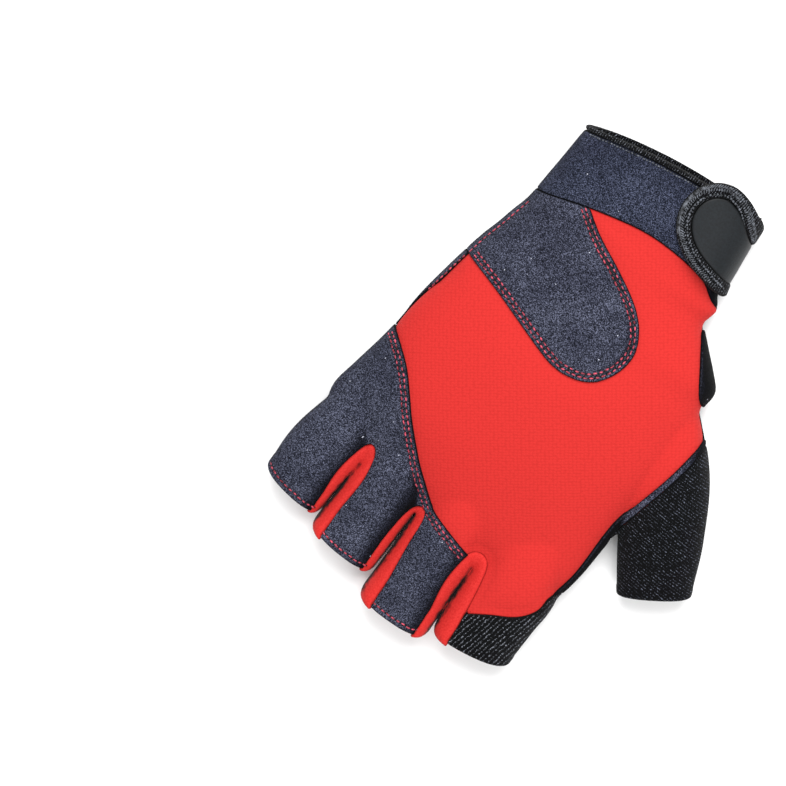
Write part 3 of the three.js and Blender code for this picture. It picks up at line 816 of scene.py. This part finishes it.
# Adds a node, with its settings and colour steps, and with its sockets linked or set
def addNode(tree, kind, sockets=(), steps=(), **settings):
    node = tree.nodes.new(kind)
    for setting, value in settings.items():
        setattr(node, setting, value)
    if steps:
        node.color_ramp.elements.remove(node.color_ramp.elements[1])
    for i, (place, code) in enumerate(steps):
        stop = node.color_ramp.elements.new(place) if i else node.color_ramp.elements[0]
        stop.position = place
        stop.color = linear(code)
    for socket, value in dict(sockets).items():
        if isinstance(value, bpy.types.NodeSocket):
            tree.links.new(value, node.inputs[socket])
        else:
            node.inputs[socket].default_value = value
    return node


# A cloth's material, its nodes and shader, and the place on the object in millimetres
def newCloth(name, **shine):
    material = bpy.data.materials.new(name)
    material.use_nodes = True
    tree = material.node_tree
    shader = tree.nodes["Principled BSDF"]
    for socket, value in shine.items():
        shader.inputs[socket.replace("_", " ")].default_value = value
    place = addNode(tree, "ShaderNodeTexCoord").outputs["Object"]
    scaled = addNode(tree, "ShaderNodeMapping", {"Vector": place, "Scale": (1000, 1000, 1000)})
    return material, tree, shader, scaled.outputs["Vector"]


# Darkens a colour towards a panel's edge: painted shade in the seam where the panel meets its neighbour
def paintSeamShade(tree, colour, width, code):
    inside = addNode(tree, "ShaderNodeAttribute", attribute_name="inside").outputs["Fac"]
    near = addNode(tree, "ShaderNodeMapRange", {
        "Value": inside, "From Min": -width, "From Max": 0, "To Min": 0, "To Max": 1})
    return addNode(tree, "ShaderNodeMix", {0: near.outputs["Result"], 6: colour, 7: linear(code)},
                   data_type="RGBA").outputs[2]


# How level the surface lies, from 0 upright to 1, and how far it faces the little finger's side
def surfaceTurn(tree):
    facing = addNode(tree, "ShaderNodeSeparateXYZ", {
        "Vector": addNode(tree, "ShaderNodeNewGeometry").outputs["Normal"]})
    level = addNode(tree, "ShaderNodeMath", {0: facing.outputs["Z"]}, operation="ABSOLUTE")
    return level.outputs[0], facing.outputs["X"]


def finish(tree, shader, colour, height, distance, strength):
    tree.links.new(colour, shader.inputs["Base Color"])
    bump = addNode(tree, "ShaderNodeBump", {"Height": height, "Distance": distance, "Strength": strength})
    tree.links.new(bump.outputs["Normal"], shader.inputs["Normal"])


# lean: how much more the thumb side is darkened in the painted shade of cloth that turns down
nap = {"tuftContrast": 0.34, "lean": 0.6, "fleckSpacing": 5, "fleckSize": 0.042}


# Napped synthetic suede, or the brushed knit face of neoprene: matt, with a speckle of light and
# dark tufts. Real fibre tips are too fine to show, so the tufts are drawn a quarter of a millimetre
# across. Painted shade darkens it where it turns steeply down, most of all down the thumb side,
# and seam is the colour of the painted shade at its edges.
def napped(name, steps, tuft, seam):
    material, tree, shader, place = newCloth(
        name, Roughness=0.95, Specular_IOR_Level=0.08, Sheen_Weight=0.01, Sheen_Roughness=0.5)
    fibres = addNode(tree, "ShaderNodeTexNoise", {
        "Vector": place, "Scale": 0.8 / tuft, "Detail": 1, "Roughness": 0.9}).outputs["Fac"]
    tufts = addNode(tree, "ShaderNodeTexVoronoi", {"Vector": place, "Scale": 1 / tuft})
    oneTuft = addNode(tree, "ShaderNodeSeparateColor", {"Color": tufts.outputs["Color"]}).outputs["Red"]
    both = addNode(tree, "ShaderNodeMath", {0: oneTuft, 1: nap["tuftContrast"], 2: fibres},
                   operation="MULTIPLY_ADD").outputs[0]
    colour = addNode(tree, "ShaderNodeValToRGB", {"Fac": both}, steps).outputs["Color"]
    broad = addNode(tree, "ShaderNodeTexNoise", {"Vector": place, "Scale": 0.08, "Detail": 2})
    level, aside = surfaceTurn(tree)
    paintedSideShade = addNode(tree, "ShaderNodeMath", {0: aside, 1: nap["lean"], 2: level}, operation="MULTIPLY_ADD")
    # Multiplies in broad random patches of tone, then painted shade: darker where the cloth turns steeply
    # down, most on the thumb side
    for amount, shades in (
            (broad.outputs["Fac"], ((0.38, "d6d6da"), (0.62, "ffffff"))),
            (paintedSideShade.outputs[0], ((0.3, "26262c"), (0.62, "74747c"), (0.9, "f4f4f4")))):
        shade = addNode(tree, "ShaderNodeValToRGB", {"Fac": amount}, shades).outputs["Color"]
        colour = addNode(tree, "ShaderNodeMix", {0: 1, 6: colour, 7: shade}, data_type="RGBA",
                         blend_type="MULTIPLY").outputs[2]
    cells = addNode(tree, "ShaderNodeTexVoronoi", {"Vector": place, "Scale": 1 / nap["fleckSpacing"]})
    fleck = addNode(tree, "ShaderNodeMath", {0: cells.outputs["Distance"], 1: nap["fleckSize"]},
                    operation="LESS_THAN").outputs[0]
    colour = addNode(tree, "ShaderNodeMix", {0: fleck, 6: colour, 7: linear("a9acb8")},
                     data_type="RGBA").outputs[2]
    finish(tree, shader, paintSeamShade(tree, colour, 0.5, seam), both, 0.0003, 0.7)
    return material


# How much the loose fibres, the ribs and the uneven shade of a slit count in their mixtures
weight = {"fuzz": 0.7, "ribs": 0.34, "slit": -0.5}


# The place in a woven or knitted piece, which runs down its sides with the cloth, in thread pitches
def inWeave(tree, turn, across, along):
    weave = addNode(tree, "ShaderNodeAttribute", attribute_name="weave").outputs["Vector"]
    turned = addNode(tree, "ShaderNodeMapping", {"Vector": weave, "Rotation": (0, 0, math.radians(turn))})
    return addNode(tree, "ShaderNodeMapping", {
        "Vector": turned.outputs["Vector"], "Scale": (1 / across, 1 / along, 1)}).outputs["Vector"]


# Knit: soft and matt, with a lattice of small pits between the stitches. The real pits are too
# fine to show, so they are drawn about a millimetre apart.
def knitted(name, across, along, turn, pit, face, depth):
    material, tree, shader, place = newCloth(
        name, Roughness=0.9, Specular_IOR_Level=0.1, Sheen_Weight=0.01)
    pits = addNode(tree, "ShaderNodeTexVoronoi", {
        "Vector": inWeave(tree, turn, across, along), "Scale": 1, "Randomness": 0.35},
        voronoi_dimensions="2D").outputs["Distance"]
    fuzz = addNode(tree, "ShaderNodeTexNoise", {"Vector": place, "Scale": 2, "Detail": 2}).outputs["Fac"]
    mixed = addNode(tree, "ShaderNodeMath", {0: fuzz, 1: weight["fuzz"], 2: pits},
                    operation="MULTIPLY_ADD").outputs[0]
    colour = addNode(tree, "ShaderNodeValToRGB", {"Fac": mixed}, ((0.6, face), (1, pit))).outputs["Color"]
    finish(tree, shader, paintSeamShade(tree, colour, 0.35, "8a1411"), mixed, -depth, 0.7)
    return material


# Terry and braid: ribs of small thread loops, light on top, with black shade between them
def looped(name, pitch, turn, steps, depth):
    material, tree, shader, place = newCloth(
        name, Roughness=0.85, Specular_IOR_Level=0.1, Sheen_Weight=0.02)
    ribs = addNode(tree, "ShaderNodeTexWave", {
        "Vector": inWeave(tree, turn, pitch, pitch), "Scale": math.pi / 10,  # one band to a pitch
        "Distortion": 2.5, "Detail": 2, "Detail Scale": 3}, bands_direction="X").outputs["Fac"]
    loops = addNode(tree, "ShaderNodeTexNoise", {
        "Vector": place, "Scale": 1.9, "Detail": 2, "Roughness": 0.9}).outputs["Fac"]
    shade = addNode(tree, "ShaderNodeMath", {0: ribs, 1: weight["ribs"], 2: loops},
                    operation="MULTIPLY_ADD").outputs[0]
    colour = addNode(tree, "ShaderNodeValToRGB", {"Fac": shade}, steps).outputs["Color"]
    finish(tree, shader, paintSeamShade(tree, colour, 0.4, "060607"), shade, depth, 1)
    return material


# Spandex jersey: fine and smooth, with the shade of the slit where it turns down between fingers
def stretchJersey():
    material, tree, shader, place = newCloth(
        "spandex_jersey", Roughness=0.75, Specular_IOR_Level=0.15, Sheen_Weight=0.03)
    fuzz = addNode(tree, "ShaderNodeTexNoise", {"Vector": place, "Scale": 1.8, "Detail": 3}).outputs["Fac"]
    colour = addNode(tree, "ShaderNodeValToRGB", {"Fac": fuzz}, (
        (0.35, "ac1d1a"), (0.65, "bc2925"))).outputs["Color"]
    inside = addNode(tree, "ShaderNodeAttribute", attribute_name="inside").outputs["Fac"]
    level, _ = surfaceTurn(tree)
    uneven = addNode(tree, "ShaderNodeTexNoise", {"Vector": place, "Scale": 0.5, "Detail": 2})
    turned = addNode(tree, "ShaderNodeMath", {0: uneven.outputs["Fac"], 1: weight["slit"], 2: level},
                     operation="MULTIPLY_ADD").outputs[0]
    steep = addNode(tree, "ShaderNodeMapRange", {
        "Value": turned, "From Min": 0.3, "From Max": 0.05, "To Min": 0, "To Max": 1}).outputs["Result"]
    deep = addNode(tree, "ShaderNodeMapRange", {
        "Value": inside, "From Min": -1.1, "From Max": -2.2, "To Min": 0, "To Max": 1}).outputs["Result"]
    shade = addNode(tree, "ShaderNodeMath", {0: steep, 1: deep}, operation="MULTIPLY").outputs[0]
    outside = addNode(tree, "ShaderNodeAttribute", attribute_name="outside").outputs["Fac"]
    shade = addNode(tree, "ShaderNodeMath", {0: shade, 1: outside}, operation="MULTIPLY").outputs[0]
    colour = addNode(tree, "ShaderNodeMix", {0: shade, 6: colour, 7: linear("160303")},
                     data_type="RGBA").outputs[2]
    finish(tree, shader, paintSeamShade(tree, colour, 0.2, "941614"), fuzz, 0.0001, 0.5)
    return material


# Strap face: a smooth, hard-wearing laminate, charcoal, with a faint light across it
def strapLaminate():
    material, tree, shader, place = newCloth("strap_laminate", Roughness=0.5, Specular_IOR_Level=0.2)
    fuzz = addNode(tree, "ShaderNodeTexNoise", {"Vector": place, "Scale": 1.5, "Detail": 3}).outputs["Fac"]
    colour = addNode(tree, "ShaderNodeValToRGB", {"Fac": fuzz}, (
        (0.35, "0c0f12"), (0.65, "12171b"))).outputs["Color"]
    finish(tree, shader, paintSeamShade(tree, colour, 0.8, "050506"), fuzz, 0.0001, 0.5)
    return material


def makeMaterials():
    loopSteps = ((0.63, "010102"), (0.83, "08090c"), (1, "888c96"))
    twillSteps = ((0.67, "010102"), (0.86, "050609"), (1, "6a6f7e"))
    return {
        "red_pique_knit": knitted("pique_knit", 0.95, 1.25, 55, "ab2522", "b52926", 0.00012),
        "red_mesh_knit": knitted("mesh_knit", 1.5, 1.9, 45, "5c0a08", "b82623", 0.0005),
        "red_spandex": stretchJersey(),
        "grey_suede": napped("napped_suede", (
            (0.42, "090a10"), (0.66, "252733"), (0.92, "686c80")), 0.27, "060609"),
        "navy_neoprene": napped("knit_faced_neoprene", (
            (0.4, "05060c"), (0.66, "1c202d"), (0.95, "5e647c")), 0.24, "040408"),
        "black_ribbed_terry": looped("ribbed_terry", 1.3, 13, loopSteps, 0.0006),
        "black_twill_terry": looped("twill_terry", 0.9, 95, twillSteps, 0.0004),
        "black_binding": looped("braided_binding", 0.8, 0, loopSteps, 0.0004),
        "black_strap": strapLaminate(),
    }


# Polyester sewing thread: twisted, with the light colour along the twist painted on as a highlight
def makeThreads():
    made = {}
    for name, dark, light in (("red", "4c0a13", "cf5165"), ("black", "020203", "0c0c0e"),
                              ("grey", "060708", "686c74")):
        material, tree, shader, place = newCloth(
            name + "_polyester_thread", Roughness=0.5, Specular_IOR_Level=0.25)
        twist = addNode(tree, "ShaderNodeTexNoise", {"Vector": place, "Scale": 0.9, "Detail": 3})
        colour = addNode(tree, "ShaderNodeValToRGB", {"Fac": twist.outputs["Fac"]}, (
            (0.34, dark), (0.7, light))).outputs["Color"]
        finish(tree, shader, colour, twist.outputs["Fac"], 0.0001, 0.5)
        made[name] = material
    return made


# Where each point lies in the cloth laid flat: over the back as in plan, and on down the sides
def addWeave(piece, axis, sideTop):
    points = pointsOf(piece.data)
    points[:, 0] += np.sign(points[:, 0] - axis) * np.clip(sideTop - points[:, 2], 0, None)
    points[:, 2] = 0
    weave = piece.data.attributes.new("weave", "FLOAT_VECTOR", "POINT")
    weave.data.foreach_set("vector", points.ravel())


materialOf = makeMaterials()
threadOf = makeThreads()
slotOf = {row["node"]: row["material_slot"] for row in frame["record"]["subparts"]}
# The axis of each cloth, and the height below which it runs down its sides
weaveSides = {"index_tip_band": (-28.8, 12), "palm_mesh": (7, 0), "others": (4, 12)}
for name, piece in pieces.items():
    addWeave(piece, *weaveSides.get(name, weaveSides["others"]))
    piece.data.transform(toFrame)
    piece.data.materials.append(materialOf[slotOf[name]])
    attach(piece, "root")
    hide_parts(name)
for piece, colour in stitching.values():
    piece.data.transform(toFrame)
    piece.data.materials.append(threadOf[colour])
    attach(piece, "root")
print("finishes")

# The floor, the soft boxes over it and a camera at the photograph's angle
studio = {
    "floor": 3,
    "paper": (0.9, 0.9, 0.9, 1),
    "sky": 0.7,
    # name, place in metres, size and watts
    "lights": (("key", (0.25, -0.7, 1.0), 0.9, 21), ("fill", (-0.9, 0.4, 1.3), 1.2, 14)),
    "cameraTilt": 9,
    "cameraRoll": 35,
    "aim": (47.9, 30.2, 0),
    "distance": 1600,
    "mmPerPixel": 0.32,
    "frontPlane": 12,
    "pixels": 786,
    "sensor": 36,
}


def makeStudio():
    bm = bmesh.new()
    bmesh.ops.create_grid(bm, x_segments=1, y_segments=1, size=studio["floor"])
    floor = newObject("floor", bm)
    paper = bpy.data.materials.new("white_paper")
    paper.use_nodes = True
    paper.node_tree.nodes["Principled BSDF"].inputs["Base Color"].default_value = studio["paper"]
    paper.node_tree.nodes["Principled BSDF"].inputs["Roughness"].default_value = 0.9
    floor.data.materials.append(paper)
    world = bpy.data.worlds.new("studio")
    world.use_nodes = True
    world.node_tree.nodes["Background"].inputs["Color"].default_value = (1, 1, 1, 1)
    world.node_tree.nodes["Background"].inputs["Strength"].default_value = studio["sky"]
    bpy.context.scene.world = world
    for name, place, size, power in studio["lights"]:
        light = bpy.data.lights.new(name, "AREA")
        light.size = size
        light.energy = power
        lamp = bpy.data.objects.new(name, light)
        lamp.location = place
        lamp.rotation_euler = (-Vector(place)).to_track_quat("-Z", "Y").to_euler()
        bpy.context.scene.collection.objects.link(lamp)


def makeCamera():
    tilt, roll = math.radians(studio["cameraTilt"]), math.radians(studio["cameraRoll"])
    forward = Vector((0, math.sin(tilt), -math.cos(tilt)))
    side, onward = Vector((1, 0, 0)), Vector((0, math.cos(tilt), math.sin(tilt)))
    right = -math.cos(roll) * side - math.sin(roll) * onward
    up = math.sin(roll) * side - math.cos(roll) * onward
    camera = bpy.data.cameras.new("camera")
    camera.sensor_width = studio["sensor"]
    reachPixels = (studio["distance"] - studio["frontPlane"]) / studio["mmPerPixel"]
    camera.lens = studio["sensor"] * reachPixels / studio["pixels"]
    camera.clip_end = 20
    place = (Vector(studio["aim"]) - forward * studio["distance"]) / 1000
    holder = bpy.data.objects.new("camera", camera)
    holder.matrix_world = Matrix.Translation(place) @ Matrix((right, up, -forward)).transposed().to_4x4()
    bpy.context.scene.collection.objects.link(holder)
    bpy.context.scene.camera = holder


makeStudio()
makeCamera()
bpy.context.scene.view_settings.view_transform = "Standard"
print("studio")
